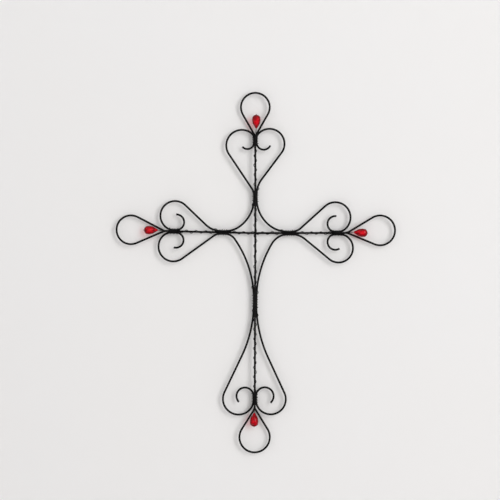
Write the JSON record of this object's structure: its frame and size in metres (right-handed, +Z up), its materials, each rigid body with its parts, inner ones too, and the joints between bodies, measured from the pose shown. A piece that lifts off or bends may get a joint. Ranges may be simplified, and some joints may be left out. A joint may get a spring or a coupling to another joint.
{
  "type": "wire wall cross",
  "caption": "Latin cross of bent and bound black wire scrolls with a drop-shaped eye and a red glass drop at the end of each arm.",
  "frame": {"origin": "inside of the top eye at its highest point, where the nail bears", "axes": "+Z up, +X to the viewer's right, -Y out of the wall toward the viewer"},
  "size_m": [0.2805, 0.009, 0.3615],
  "materials": {
    "frame_wire": "black annealed iron wire, faint satin sheen",
    "binding_wire": "thin black annealed iron wire, faint satin sheen",
    "bead": "clear deep red faceted glass"
  },
  "bodies": {
    "root": {"vertical_wire": "frame_wire", "horizontal_wire": "frame_wire", "scroll_top_left": "frame_wire", "scroll_top_right": "frame_wire", "scroll_bottom_left": "frame_wire", "scroll_bottom_right": "frame_wire", "vertical_binding": "binding_wire", "horizontal_binding": "binding_wire", "bead_top": "bead", "bead_left": "bead", "bead_right": "bead", "bead_bottom": "bead"}
  },
  "joints": []
}
